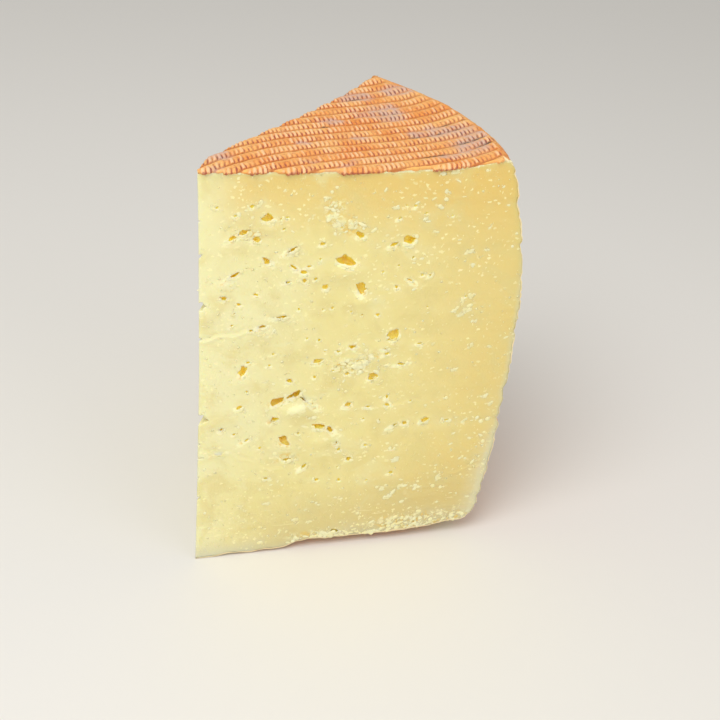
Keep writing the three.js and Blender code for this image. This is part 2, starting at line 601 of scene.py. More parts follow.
# rounded swellings: [x, z, half width, half height, height]
swellings = [
    [24.2, 43.6, 3.2, 2.0, 0.95], [31.5, 34.0, 4.0, 2.4, 0.5], [21.6, 31.6, 3.0, 1.8, 0.4],
    [34.0, 80.0, 3.0, 1.6, 0.35], [38.6, 72.0, 2.6, 1.6, 0.35], [15.8, 91.6, 2.4, 1.3, 0.3],
    [46.6, 59.6, 2.8, 1.5, 0.3], [11.0, 52.0, 2.2, 1.6, 0.25], [1.5, 71.0, 3.2, 2.2, 0.35],
    [3.0, 41.0, 4.0, 1.6, 0.3], [16.5, 64.6, 2.6, 1.8, 0.35], [38.5, 72.4, 3.0, 1.8, 0.2],
    [34.5, 79.8, 3.4, 1.8, 0.2],
]
# torn, crumbly places: [x, z, half width, half height, strength]
tornPlaces = [
    [30.6, 95.2, 2.4, 3.4, 0.8], [34.5, 91.5, 3.5, 2.6, 0.6], [37.5, 54.6, 5.0, 2.0, 1.0],
    [41.5, 57.2, 3.0, 1.6, 0.6], [17.5, 45.2, 1.5, 1.6, 0.4], [27.0, 38.6, 4.0, 2.0, 0.2],
    [12.0, 90.0, 3.5, 2.2, 0.5], [22.0, 29.5, 4.0, 2.0, 0.5], [55.0, 97.0, 6.0, 2.5, 0.12],
    [66.0, 68.5, 4.5, 4.0, 0.2], [56.0, 15.5, 10.0, 3.5, 0.22], [60.0, 5.5, 14.0, 2.5, 0.8],
    [31.0, 4.0, 10.0, 1.6, 0.5], [73.0, 26.0, 3.0, 16.0, 0.15],
]


def outline(radius, height):
    # front cut from the tip, the arc under the rind, then the back cut to the blunt tip
    shares = smooth(0, 1, np.linspace(0, 1, paste["aroundRim"] + 2))
    tucked = paste["underRind"] * smooth(0, 0.05, shares) * smooth(1, 0.95, shares) + paste["atEdges"]
    rim = arcPoints(radius, shares, height)
    rim -= (rim - wheelCentre) * (tucked / radius)[:, None]
    front = np.linspace(0, 1, paste["alongFront"])[:, None] * rim[0]
    back = bluntTip + (rim[-1] - bluntTip) * np.linspace(1, 0, paste["alongBack"])[:, None]
    tip = bluntTip * np.linspace(1, 0, 12)[1:-1, None]
    plan = np.concatenate([front, rim[1:-1], back, tip])
    facing = np.concatenate([
        np.tile([0, -1.0], (len(front), 1)),
        np.zeros((len(rim) - 2, 2)),
        np.tile(-backInward, (len(back), 1)),
        np.tile([-0.88, 0.47], (len(tip), 1)),
    ])
    facing[0] = facing[-1] = (-0.75, -0.4)
    return plan, facing


def foldRelief(x, z):
    relief = np.zeros(len(x))
    for x0, z0, x1, z1, height, half in knifeFolds:
        along = np.array([x1 - x0, z1 - z0])
        length = np.linalg.norm(along)
        along /= length
        share = (x - x0) * along[0] + (z - z0) * along[1]
        off = -(x - x0) * along[1] + (z - z0) * along[0] + 0.35 * np.sin(share * 0.9)
        ends = smooth(-0.6, 1.2, share) * (1 - smooth(length - 1.2, length + 0.6, share))
        step = np.exp(-(off / half) ** 2) - 0.8 * np.exp(-((off - 1.6 * half) / half) ** 2)
        relief += height * ends * step
    for cx, cz, halfX, halfZ, height in swellings:
        relief += height * np.exp(-((x - cx) / halfX) ** 2 - ((z - cz) / halfZ) ** 2)
    return relief


def lipShare(x, z, eyes, spread=0.55):
    # 1 on the rim of an eye, strongest under it, fading outwards
    share = np.zeros(len(x))
    for eye in eyes:
        tilt = math.radians(eye[4])
        dx, dz = x - eye[0], z - eye[1]
        near = np.hypot(dx, dz) < max(eye[2], eye[3]) + 2.5
        dx, dz = dx[near], dz[near]
        a = (dx * math.cos(tilt) + dz * math.sin(tilt)) / (eye[2] / 2)
        b = (-dx * math.sin(tilt) + dz * math.cos(tilt)) / (eye[3] / 2)
        out = np.hypot(a, b)
        gap = (out - 1) * 0.5 * min(eye[2], eye[3])
        below = 0.35 + 0.65 * smooth(0.3, -0.8, dz / np.maximum(np.hypot(dx, dz), 1e-6))
        size = min(1, 0.45 + 0.3 * max(eye[2], eye[3]))
        value = below * size * np.exp(-(np.maximum(gap, 0) / spread) ** 2)
        share[near] = np.maximum(share[near], value)
    return share


def tornShare(x, z, eyes):
    share = 0.55 * lipShare(x, z, eyes, 0.8)
    for cx, cz, halfX, halfZ, strength in tornPlaces:
        share = np.maximum(share, strength * np.exp(-((x - cx) / halfX) ** 2 - ((z - cz) / halfZ) ** 2))
    return share


def addPaste():
    skin = Skin()
    levels = np.linspace(0, 1, paste["levels"])
    previous = None
    for level in levels:
        inner = 0.25 + level * (wheel["height"] - 0.25 - paste["underTop"])
        radius = float(sideRadius(inner))
        if inner > sideHead:
            rise = (inner - sideHead) / wheel["topShoulder"]
            radius = topRim + wheel["topShoulder"] * math.sqrt(max(1 - rise * rise, 0))
        if inner < sideFoot:
            drop = (sideFoot - inner) / wheel["baseShoulder"]
            radius = baseRim + wheel["baseShoulder"] * math.sqrt(max(1 - drop * drop, 0))
        plan, facing = outline(radius, inner)
        z = inner + baseHeight(plan) * smooth(11, 0, inner)
        z += (topHeight(plan) - wheel["height"]) * smooth(wheel["height"] - 10, wheel["height"] - 0.5, inner)
        folds = foldRelief(plan[:, 0], z) + paste["lipHeight"] * lipShare(plan[:, 0], z, allFrontEyes)
        order = np.arange(len(plan))
        front = order < paste["alongFront"]
        onFace = front | (order >= paste["alongFront"] + paste["aroundRim"])
        z += np.where(onFace, paste["topEdgeRise"] * smooth(0.97, 1, level), 0)
        torn = np.where(front, tornShare(plan[:, 0], z, allFrontEyes), 0.12)
        plan = plan.copy()
        plan[:, 1] -= np.where(front, folds, 0)
        plan[:, 0] += paste["tipBow"] * math.sin(math.pi * level) * smooth(6, 0, plan[:, 0])
        hidden = smooth(0, 0.02, level) * smooth(1, 0.985, level)
        row = np.column_stack([plan, z])
        outward = np.column_stack([facing * hidden, np.zeros(len(facing))])
        ids = skin.row(row, outward=outward, torn=torn)
        if previous is not None:
            skin.band(previous, ids, closed=True)
        previous = ids
        if level in (levels[0], levels[-1]):
            middle = plan.mean(0) * (0.95, 0.75)
            ring = ids
            for shrink in (0.75, 0.5, 0.25):
                inside = middle + (plan - middle) * shrink
                height = baseHeight(inside) + 0.25 if level == 0 else topHeight(inside) - paste["underTop"]
                nextRing = skin.row(np.column_stack([inside, height]), outward=np.zeros((len(inside), 3)),
                                    torn=np.zeros(len(inside)))
                skin.band(ring, nextRing, closed=True)
                ring = nextRing
            height = 0.25 if level == 0 else float(topHeight(middle[None])[0]) - paste["underTop"]
            centre = skin.row([[*middle, height]], outward=np.zeros((1, 3)), torn=np.zeros(1))
            skin.fan(ring, centre[0])
    return skin.build("cheese_paste")


def reliefTree():
    tree, ins = newGeometryTree("cut_relief", {
        "Waviness": ("Float", 0.2 * mm), "Ripple": ("Float", 0.05 * mm), "Tearing": ("Float", 0.4 * mm),
        "Grain": ("Float", 0.02 * mm), "Finish": ("Material", None)})
    where = get(tree, "GeometryNodeInputPosition")
    broad = lumps(where, 0.02, 2) * ins["Waviness"]
    middle = lumps(where, 0.003, 3) * ins["Ripple"]
    fine = lumps(where, 0.0007, 2) * ins["Grain"]
    rip = stepUp(lumps(where, paste["tearSize"] * mm, 3, 0.6, 0.6), -0.2, 0.2, -0.5, 0.5)
    height = broad + middle + fine + rip * readNote(tree, "torn") * ins["Tearing"]
    offset = scaled(readNote(tree, "outward", "FLOAT_VECTOR"), height)
    return moveAndFinish(ins["Geometry"], offset, ins["Finish"])


def openingTree():
    tree, ins = newGeometryTree("open_eyes", {
        "Eyes": ("Object", None), "Notches": ("Object", None), "Eye finish": ("Material", None)})
    cut = put(tree, "GeometryNodeMeshBoolean", {"operation": "DIFFERENCE", "solver": "MANIFOLD"})
    fill(cut.inputs["Mesh 1"], ins["Geometry"])
    for label in ("Eyes", "Notches"):
        fill(cut.inputs["Mesh 2"], get(tree, "GeometryNodeObjectInfo", give="Geometry", Object=ins[label]))
    walls = get(tree, "GeometryNodeMaterialSelection", Material=ins["Eye finish"])
    return finishTree(Wire(cut.outputs[0]), ins["Eye finish"], walls)


# the rind: a thin closed skin over the top, side and base, with the press mat's weave

rind = {
    "topRows": 330,
    "topColumns": 188,
    "sideRows": 150,
    "sideColumns": 94,
    "baseRows": 44,
    "lipColumns": 7,
    "innerColumns": 9,
    "thickness": 1.1,
    "sideTuck": 0.3,
    "tipTuck": 0.45,
    "topProud": 0.12,
    "sideProud": 0.02,
    "sideLip": 0.16,
    "topLip": 0.15,
    "lipSaw": 0.2,  # mm of the stitches that hangs over the cut
    "fringe": 0.6,
    "baseGap": 0.13,  # mm, room for the relief above what the wedge stands on
}
weave = {
    "rowPitch": 4.0,
    "stitchPitch": 1.12,
    "stitchShare": 0.66,  # of the row, the rest is cord
    "rowHeight": 0.5,
    "stitchHeight": 0.24,
    "pocketDepth": 0.16,
    "cordHeight": 0.1,
    "lean": 0.06,
    "slope": 0.17,
    "bend": 0.00013,
    "bendMiddle": 45.0,
    "phase": 0.1,
}
# grey-mauve bloom on the top: [x, y, half x, half y]
bloomPatches = [
    [46, 46, 4.5, 4.0], [57, 48, 5.0, 3.5], [51, 34, 5.0, 5.5], [54, 19.5, 2.6, 2.4], [62, 20, 6.0, 4.5],
    [64, 10, 4.5, 5.0], [57.5, 5, 3.0, 1.6], [5, 8, 3.5, 3.5], [36, 29, 3.0, 2.2], [26, 15, 2.0, 1.4],
    [40, 18, 2.2, 1.4], [67, 15, 3.0, 3.0],
]
# where mould darkened the creases between rows: [x, y, half x, half y]
mouldPatches = [
    [54, 18.5, 3.4, 1.5], [62.5, 19, 5.0, 2.2], [65.5, 24, 4.2, 2.2], [65, 12.5, 4.5, 2.6],
    [55, 5.5, 3.6, 1.8], [66.5, 10, 3.0, 2.0], [54.5, 40, 2.4, 1.6], [50.5, 34.5, 2.4, 1.6],
    [47, 43, 3.5, 2.0], [33, 27, 2.0, 1.2],
]


def rowCurve(x):
    bent = weave["bend"] * (x - weave["bendMiddle"]) ** 3
    return weave["slope"] * x + bent + weave["phase"] * weave["rowPitch"]


def edgePhase(x):
    return np.mod(-rowCurve(x) / weave["rowPitch"], 1)


def patchShare(plan, patches, seed):
    share = np.zeros(len(plan))
    for x, y, halfX, halfY in patches:
        away = ((plan[:, 0] - x) / halfX) ** 2 + ((plan[:, 1] - y) / halfY) ** 2
        share = np.maximum(share, np.exp(-away * 0.8))
    return np.clip(share + 0.35 * latticeNoise(plan, 2.4, seed) * share, 0, 1)


def rindSection():
    # the profile from the top's rim round to the base's rim: radius, height and outward slope
    section = []

    def shoulder(angles, rim, level, size):
        for angle in angles:
            a = math.radians(angle)
            section.append((rim + size * math.cos(a), level + size * math.sin(a), math.cos(a), math.sin(a)))

    shoulder(np.linspace(90, 0, 8)[1:-1], topRim, sideHead, wheel["topShoulder"])
    for height in np.linspace(sideHead, sideFoot, rind["sideRows"]):
        slope = float(sideRadius(height + 0.5) - sideRadius(height - 0.5))
        size = math.hypot(1, slope)
        section.append((float(sideRadius(height)), height, 1 / size, -slope / size))
    shoulder(np.linspace(0, -90, 9)[1:-1], baseRim, sideFoot, wheel["baseShoulder"])
    return section


def topRows(columns, count, radius, rowsFromTip=True):
    tipRow = np.linspace(0, 1, columns)[:, None] * bluntTip
    rimRow = arcPoints(radius, np.linspace(0, 1, columns))
    for t in (np.linspace(0, 1, count) if rowsFromTip else np.linspace(1, 0, count)):
        yield tipRow * (1 - t) + rimRow * t


def withLip(plan, z, outward, drop, columns, proud):
    # adds the flap that hangs over the front cut, ahead of the row's own points
    edge = np.array([*plan[0], z[0]])
    normal = outward[0]
    shares = np.linspace(0, 1, columns + 1)[:-1]
    flap = []
    flapOut = []
    for share in shares:
        hang = drop * (1 - share) ** 1.2
        turned = math.sin(min(1, hang / 0.5) * math.pi / 2)
        flap.append(edge - normal * hang + np.array([0, -proud * turned, 0]))
        flapOut.append(normal * (1 - 0.85 * turned) + np.array([0, -0.85 * turned, 0]))
    points = np.concatenate([flap, np.column_stack([plan, z])])
    return points, np.concatenate([flapOut, outward]), -drop * (1 - shares) ** 1.2


def topImprint(plan, reach):
    # the top's weave fades out unevenly over the shoulder
    wobble = 0.9 * latticeNoise(plan, 5, 31)
    return smooth(topRim + 2.4, topRim - 0.6, reach + wobble + 1.2 * smooth(25, 50, plan[:, 1]))


def spotNoise(place, row, size, seed):
    return float(latticeNoise(np.array([[place, row]]), size, seed)[0])


def addRind():
    skin = Skin()
    inner = []
    outerRows = []
    lip = rind["lipColumns"]
    sparse = rind["innerColumns"]

    def finish(plan, z, outward, along, across, imprint, drop, onTop=False, imprintLip=0):
        proud = rind["topProud"] if onTop else rind["sideProud"]
        points, out, hang = withLip(plan, z, outward, drop, lip, proud)
        away = np.hypot(*(points[:, :2] - points[lip, :2]).T)
        away = np.minimum(away, np.hypot(*(points[:, :2] - points[-1, :2]).T))
        edge = np.exp(-(away / 0.5) ** 2) * (not onTop)
        fringed = onTop * float(smooth(0.25, 0.6, drop))
        ids = skin.row(points, outward=out, along=np.concatenate([np.full(lip, along[0]), along]),
                       across=np.concatenate([across[0] + hang, across]),
                       imprint=np.concatenate([np.full(lip, imprintLip), imprint]), edge=edge,
                       hanging=fringed * np.concatenate([np.linspace(1, 0, lip), np.zeros(len(plan))]),
                       bloom=onTop * patchShare(points[:, :2], bloomPatches, 51),
                       mould=onTop * patchShare(points[:, :2], mouldPatches, 52))
        outerRows.append(ids)
        pick = np.round(np.linspace(0, 1, sparse) * (len(plan) - 1)).astype(int)
        inward = outward[pick] / np.linalg.norm(outward[pick], axis=1)[:, None]
        deep = np.column_stack([plan, z])[pick] - inward * rind["thickness"]
        deep[0, 1] += rind["sideTuck"]
        deep[-1, :2] += backInward * rind["sideTuck"]
        if np.linalg.norm(plan[-1] - bluntTip) < 0.01:
            deep[:, :2] += rind["tipTuck"] * np.array([0.88, -0.47])
        inner.append(deep)

    for plan in topRows(rind["topColumns"], rind["topRows"], topRim):
        x = plan[0, 0]
        phase = float(edgePhase(x))
        # a row's stitches wrap over the edge, its cord stops short of it
        wrapped = phase / weave["stitchShare"] if phase < weave["stitchShare"] else 0.0
        finger = abs(math.sin(math.pi * x / weave["stitchPitch"]))
        drop = rind["topLip"] + (rind["lipSaw"] + rind["fringe"] * finger) * wrapped
        drop += 0.22 * spotNoise(x, 3.0, 1.7, 8)
        drop = max(0.1, drop * (1 - 0.7 * float(smooth(64, 69, x))))
        imprint = topImprint(plan, np.hypot(*(plan - wheelCentre).T))
        finish(plan, topHeight(plan), np.tile([0, 0, 1.0], (len(plan), 1)), plan[:, 0],
               plan[:, 1] - rowCurve(plan[:, 0]), imprint, drop, True, 1.0)
    for radius, height, outR, outZ in rindSection():
        shares = np.linspace(0, 1, rind["sideColumns"])
        plan = arcPoints(radius, shares, height)
        front, back = arcEnds(radius)
        angle = front + (back - front) * shares
        outward = np.column_stack([outR * np.cos(angle), outR * np.sin(angle), np.full(len(angle), outZ)])
        drop = rind["sideLip"] * (1 + 0.6 * spotNoise(height, 1.0, 1.5, 3))
        z = height + baseHeight(plan) * smooth(11, 0, height)
        if height > sideHead:
            # the top's rows run out over the shoulder
            across = plan[:, 1] - rowCurve(plan[:, 0])
            finish(plan, z, outward, plan[:, 0], across, topImprint(plan, radius), drop)
            continue
        level = smooth(sideHead + 1, sideHead - 7, height) * smooth(sideFoot, sideFoot + 6, height)
        side = 0.55 * float(level) * (0.2 + 0.8 * smooth(1, 8, (angle - front) * radius))
        finish(plan, z, outward, angle * wheel["bellyRadius"], z, side, drop)
    for plan in topRows(rind["sideColumns"], rind["baseRows"], baseRim, rowsFromTip=False):
        imprint = 0.5 * smooth(baseRim, baseRim - 4, np.hypot(*(plan - wheelCentre).T))
        drop = rind["sideLip"] * (1.2 + 0.9 * spotNoise(plan[0, 0], 7.0, 1.3, 5))
        finish(plan, baseHeight(plan) + rind["baseGap"], np.tile([0, 0, -0.25], (len(plan), 1)), plan[:, 0],
               plan[:, 1] - rowCurve(plan[:, 0]), imprint, drop, imprintLip=0.2)
    for a, b in zip(outerRows[:-1], outerRows[1:]):
        (skin.band if len(a) == len(b) else skin.zipped)(a, b)
    labels = ("along", "across", "imprint", "edge", "hanging", "bloom", "mould")
    blank = {label: np.zeros(sparse) for label in labels}
    innerRows = [skin.row(points, outward=np.zeros((sparse, 3)), **blank) for points in inner]
    for a, b in zip(innerRows[:-1], innerRows[1:]):
        skin.band(b, a)
    skin.band(np.array([r[0] for r in innerRows]), np.array([r[0] for r in outerRows]))
    skin.band(np.array([r[-1] for r in outerRows]), np.array([r[-1] for r in innerRows]))
    skin.zipped(outerRows[0], innerRows[0])
    skin.zipped(innerRows[-1], outerRows[-1])
    return skin.build("cheese_rind")


def weaveTree():
    tree, ins = newGeometryTree("pressed_weave", {
        "Row pitch": ("Float", 4.0), "Row height": ("Float", 0.5 * mm), "Stitch pitch": ("Float", 1.12),
        "Stitch height": ("Float", 0.3 * mm), "Pocket depth": ("Float", 0.3 * mm),
        "Cord height": ("Float", 0.3 * mm), "Lean": ("Float", 0.06), "Finish": ("Material", None)})
    along, across, imprint = (readNote(tree, name) for name in ("along", "across", "imprint"))
    where = get(tree, "GeometryNodeInputPosition")
    row = (across + lumps(where, 0.007, 2) * 1.1) / ins["Row pitch"]
    rowNumber = calc("FLOOR", row)
    part = calc("FRACT", row)
    rowShift = get(tree, "ShaderNodeTexWhiteNoise", {"noise_dimensions": "1D"}, give="Value", W=rowNumber)
    crowd = lumps(where, 0.004, 2) * 0.9
    stitch = (along + across * ins["Lean"]) / ins["Stitch pitch"] + rowShift + crowd
    hump = calc("SINE", calc("FRACT", stitch) * math.pi) ** 0.7
    seat = get(tree, "ShaderNodeCombineXYZ", X=calc("FLOOR", stitch), Y=rowNumber)
    each = get(tree, "ShaderNodeTexWhiteNoise", {"noise_dimensions": "2D"}, give="Value", Vector=seat)
    strength = stepUp(each, 0, 1, 0.5, 1.1)
    band = stepUp(part, 0.0, 0.14) * stepUp(part, 0.8, 0.62)
    worn = stepUp(lumps(where, 0.011, 3), -0.22, 0.02, 0.7, 1.0)
    ridge = band * hump * strength * imprint * worn
    pocket = band * (1.0 - hump) * imprint * worn * (stepUp(part, 0.75, 0.15) + 0.15)
    cord = calc("SINE", stepUp(part, 0.66, 1.0) * math.pi) * imprint * worn
    crease = calc("MAXIMUM", stepUp(part, 0.14, 0.03), stepUp(part, 0.89, 0.98)) * imprint
    bulge = calc("SINE", part * math.pi) ** 0.6 * imprint * ins["Row height"]
    pebble = lumps(where, 0.0012, 3) * (0.3 * mm) + lumps(where, 0.012, 2) * (0.5 * mm)
    height = ridge * ins["Stitch height"] + cord * ins["Cord height"] - pocket * ins["Pocket depth"]
    height = height + bulge + pebble
    geometry = ins["Geometry"]
    # ridge and pocket also go to the material, which paints the ridges pale as a highlight and the pockets
    # dark as shade
    for name, value in (("ridge", ridge), ("pocket", pocket), ("cord", cord), ("crease", crease)):
        geometry = get(tree, "GeometryNodeStoreNamedAttribute", {"data_type": "FLOAT", "domain": "POINT"},
                       Geometry=geometry, Name=name, Value=value)
    offset = scaled(readNote(tree, "outward", "FLOAT_VECTOR"), height)
    return moveAndFinish(geometry, offset, ins["Finish"])


# materials

# in this look, lower and hollow are painted shade, base is partly painted shade, lip is partly a painted
# highlight and tip is partly painted light
pasteLook = {
    "tip": "#efeab6", "heart": "#ece09c", "outer": "#e6cf83", "amber": "#e7c268", "shade": "#e0d18d",
    "lower": "#d2c085", "hollowShade": "#ecc764", "base": "#d5d0b0", "dry": "#e0d6aa", "fleck": "#fff6c0",
    "lip": "#fff9c6", "speck": "#b0532a",
    "roughness": 0.45, "specular": 0.35, "subsurface": 0.42, "radius": (1.0, 0.8, 0.4), "reach": 0.003,
    "bump": 0.25,
}
# the eye walls' colours: painted golden for the glow of light through the paste, and deeper inwards for the
# shade in the pit
eyeLook = {
    "mouth": "#fdeea0", "wall": "#fbe064", "depth": "#fbdd64",
    "roughness": 0.4, "subsurface": 1.0, "radius": (1.0, 0.95, 0.6), "reach": 0.006, "bump": 0.3,
}
rindLook = {
    # ridge is a painted highlight on the stitch tops; pocket and bloomPocketShade are painted shade in the
    # pockets between the stitches
    "skin": "#ec9542", "skinPale": "#f6bb70", "ridge": "#f6c693", "pocket": "#ab553c", "cord": "#f6b962",
    "crease": "#b66027", "pit": "#b45a34", "bloom": "#d4b1a0", "bloomPocketShade": "#875a51", "mould": "#443d2b",
    "speck": "#fff6e2", "edge": "#f4dfb0",
    "roughness": 0.55, "subsurface": 0.12, "radius": (1.0, 0.45, 0.2), "reach": 0.001, "bump": 0.4,
}
crumbLook = {
    "dull": "#fff3ac", "bright": "#fffac4",
    "roughness": 0.5, "subsurface": 0.2, "radius": (1.0, 0.8, 0.4), "reach": 0.001,
}


def newMaterial(name):
    material = bpy.data.materials.new(name)
    material.use_nodes = True
    return material, material.node_tree


def finishMaterial(material, look, base, grain=None):
    # the settings of the look and the colour, and a fine bump from the grain
    tree = material.node_tree
    values = {
        "Base Color": base,
        "Roughness": look["roughness"],
        "Specular IOR Level": look.get("specular"),
        "Subsurface Weight": look.get("subsurface"),
        "Subsurface Radius": look.get("radius"),
        "Subsurface Scale": look.get("reach"),
    }
    if grain is not None:
        values["Normal"] = get(tree, "ShaderNodeBump", Strength=look["bump"], Distance=0.0002, Height=grain)
    for label, value in values.items():
        fill(tree.nodes["Principled BSDF"].inputs[label], value)
    return material


def note(tree, name):
    return get(tree, "ShaderNodeAttribute", {"attribute_name": name}, give="Fac")


def mixed(share, a, b):
    return get(share.tree, "ShaderNodeMix", {"data_type": "RGBA"}, give="Result", Factor=share, A=a, B=b)


def layered(look, base, layers):
    # each layer's colour over the ones before it, where its share is 1
    for name, share in layers:
        base = mixed(share, base, colour(look[name]))
    return base


def placeInPaste(tree):
    # object coordinates, whole and as x, y and z in mm from the tip
    place = get(tree, "ShaderNodeTexCoord", give="Object")
    split = put(tree, "ShaderNodeSeparateXYZ", Vector=place)
    x = (Wire(split.outputs[0]) - tipCorner.x) * 1000.0
    y = (Wire(split.outputs[1]) - tipCorner.y) * 1000.0
    return place, x, y, Wire(split.outputs[2]) * 1000.0


def spots(place, size, radius, chance):
    # scattered dots: 1 inside a dot; size is the spacing in metres, radius a share of it
    cells = put(place.tree, "ShaderNodeTexVoronoi", Vector=place, Scale=1 / size)
    pick = get(place.tree, "ShaderNodeSeparateColor", Color=Wire(cells.outputs["Color"]))
    return stepUp(Wire(cells.outputs["Distance"]), radius, radius * 0.6) * calc("LESS_THAN", pick, chance)


def stretched(place, tilt, factor):
    return get(place.tree, "ShaderNodeMapping", Vector=place, Rotation=(0, tilt, 0), Scale=factor)


def pasteMaterial():
    look = pasteLook
    material, tree = newMaterial("cheese_paste")
    place, x, y, z = placeInPaste(tree)
    # partly real, partly painted light: the drift from the pale tip colour to the warmer outer colour is the
    # paste drying towards the rind, and also painted light, with the thin tip paler where light passes
    # through it and the right and lower front darker
    reach = calc("SQRT", x ** 2.0 + y ** 2.0)
    drift = reach + lumps(place, 0.022, 3) * 26.0 + stepUp(z, 70.0, 104.0) * 14.0
    drift = drift + stepUp(z, 40.0, 8.0) * 12.0
    under = stepUp(z, 84.0, 106.0) * stepUp(x, 1.0, 12.0)
    murk = stepUp(lumps(place, 0.008, 3, 0.6, 0.5), -0.06, 0.2, 0.0, 0.6)
    glow = stepUp(lumps(stretched(place, 0.0, (1, 1, 1.5)), 0.011, 3, 0.55, 0.5), 0.02, 0.22)
    foot = z + lumps(place, 0.006, 3) * 5.0 - stepUp(x, 20.0, 74.0) * 5.0
    bent = vectorCalc("ADD", place, stirring(place, 0.0007, 0.0011))

    # how far the point is from the rind, in mm
    centreX, centreY = wheel["centre"]
    fromCentre = calc("SQRT", (x - centreX) ** 2.0 + (y - centreY) ** 2.0)
    narrow = ((z - wheel["bellyHeight"]) / 50.0) ** 2.0
    rimGap = calc("SUBTRACT", wheel["bellyRadius"], fromCentre) - narrow * 4.6 + lumps(place, 0.005, 3) * 3.0
    dry = calc("ADD", stepUp(rimGap, 6.0, 0.6) * stepUp(z, 62.0, 12.0) * 0.6,
               stepUp(rimGap, 2.0, 0.4, 0.0, 0.45), clamp=True)

    chips = calc("MAXIMUM", spots(stretched(bent, 0.5, (1, 1, 1.7)), 0.0023, 0.26, 0.6),
                 spots(stretched(bent, -0.3, (1.6, 1, 1)), 0.0015, 0.24, 0.55))
    gathered = stepUp(lumps(place, 0.009, 3, 0.6), -0.12, 0.14, 0.1, 0.75)
    scratch = stretched(place, 0.22, (1, 1, 9))
    streaks = stepUp(lumps(scratch, 0.009, 3, 0.6), 0.17, 0.24)
    streakZone = calc("MAXIMUM", stepUp(z, 96.0, 103.0), stepUp(foot, 24.0, 8.0))
    # lip paints the pale rims round the eyes and flakes: partly the torn paste's own colour, partly a
    # painted highlight under each eye and on the swellings
    lip = note(tree, "lip")
    broken = lip + lumps(bent, 0.0013, 3, 0.6) * 0.9
    pale = stepUp(broken, 0.3, 0.55) * stepUp(lip, 0.05, 0.3) * 0.85
    ripped = lumps(place, paste["tearSize"] * mm, 3, 0.6, 0.6)
    tornZone = stepUp(note(tree, "torn"), 0.1, 0.55)
    base = mixed(stepUp(drift, 4.0, 34.0), colour(look["tip"]), colour(look["heart"]))
    base = layered(look, base, [
        ("outer", stepUp(drift, 34.0, 84.0)),
        ("amber", under * 0.65),
        ("shade", murk),
        ("tip", glow * stepUp(reach, 70.0, 30.0) * 0.55),
        # partly real, partly painted shade: the paste's own pale dry foot band, darkened and greyed as shade
        # near the floor
        ("base", stepUp(foot, 7.0, 0.0) * 0.75),
        # painted shade: the lower front is darkened where less light reaches it
        ("lower", stepUp(foot, 24.0, 4.0) * stepUp(x, 6.0, 26.0) * 0.55),
        ("dry", dry),
        ("fleck", chips * gathered),
        ("fleck", streaks * streakZone * 0.4),
        ("lip", calc("MAXIMUM", pale, lip * 0.35)),
        # painted light in the torn places: the peaks of the torn relief are painted pale as a highlight, and
        # its hollows are painted golden as shade
        ("lip", stepUp(ripped, 0.0, 0.1) * tornZone * 0.8),
        ("hollowShade", stepUp(ripped, -0.02, -0.14) * tornZone * 0.75),
        ("speck", spots(place, 0.0075, 0.036, 0.7)),
    ])
    return finishMaterial(material, look, base, lumps(place, 0.0005, 3) + lumps(scratch, 0.012, 2) * 0.8)


def eyeMaterial():
    material, tree = newMaterial("eye_wall")
    place, x, y, z = placeInPaste(tree)
    behind = (x - bluntTip[0]) * float(backInward[0]) - (y - bluntTip[1]) * -float(backInward[1])
    depth = calc("MINIMUM", y, behind)
    # partly painted light: the walls are painted more golden than the cut paste, and deeper inwards,
    # standing in for light glowing through the paste and for the shade inside the pit
    base = mixed(stepUp(depth, 0.0, 0.45), colour(eyeLook["mouth"]), colour(eyeLook["wall"]))
    base = layered(eyeLook, base, [("depth", stepUp(depth, 0.7, 1.9))])
    return finishMaterial(material, eyeLook, base, lumps(place, 0.0006, 2))


def rindMaterial():
    look = rindLook
    material, tree = newMaterial("cheese_rind")
    place = get(tree, "ShaderNodeTexCoord", give="Object")
    ridge, pocket, cord, crease, edge, hanging, bloom, mould = (note(tree, name) for name in (
        "ridge", "pocket", "cord", "crease", "edge", "hanging", "bloom", "mould"))
    blotch = stepUp(lumps(place, 0.005, 3), -0.22, 0.16, 0.3, 1.15)
    smear = lumps(place, 0.0006, 3, 0.6) * 0.5
    patch = stepUp(lumps(stretched(place, 0.0, (1, 1.6, 1)), 0.012, 3, 0.55, 0.4), 0.12, 0.2, 0.0, 0.6)
    broken = stepUp(lumps(place, 0.0016, 3), -0.22, 0.12, 0.3, 1.0)
    patch = calc("MAXIMUM", patch, stepUp(bloom, 0.2, 0.75)) * broken
    stain = stepUp(lumps(place, 0.0024, 3), -0.16, 0.1)
    fringe = hanging + lumps(place, 0.0018, 3) * 1.2
    chipped = edge + lumps(place, 0.0012, 3) * 1.1
    tone = stepUp(lumps(place, 0.008, 4), -0.2, 0.2)
    skin = layered(look, mixed(tone, colour(look["skin"]), colour(look["skinPale"])), [
        ("pit", stepUp(lumps(place, 0.0007, 3), 0.02, 0.26, 0.0, 0.7)),
        ("cord", cord * 0.8),
        ("crease", crease * 0.8),
        # painted shade: the pockets between the stitches are darkened red-brown
        ("pocket", stepUp(pocket + smear, 0.1, 0.75) * blotch),
        # painted highlight: the stitch tops are painted pale
        ("ridge", stepUp(ridge + smear, 0.45, 1.1)),
    ])
    # painted shade: the pockets inside the bloom are darkened
    bloomed = mixed(stepUp(pocket, 0.15, 0.6), colour(look["bloom"]), colour(look["bloomPocketShade"]))
    skin = layered(look, mixed(patch * 0.85, skin, bloomed), [
        ("mould", crease * stepUp(mould, 0.25, 0.6) * stain * 0.9),
        ("speck", spots(place, 0.0042, 0.075, 0.22)),
        ("pocket", stepUp(fringe, 0.3, 0.7) * stepUp(hanging, 0.0, 0.2) * 0.75),
        ("edge", stepUp(chipped, 0.25, 0.6)),
    ])
    return finishMaterial(material, look, skin, lumps(place, 0.0005, 3))


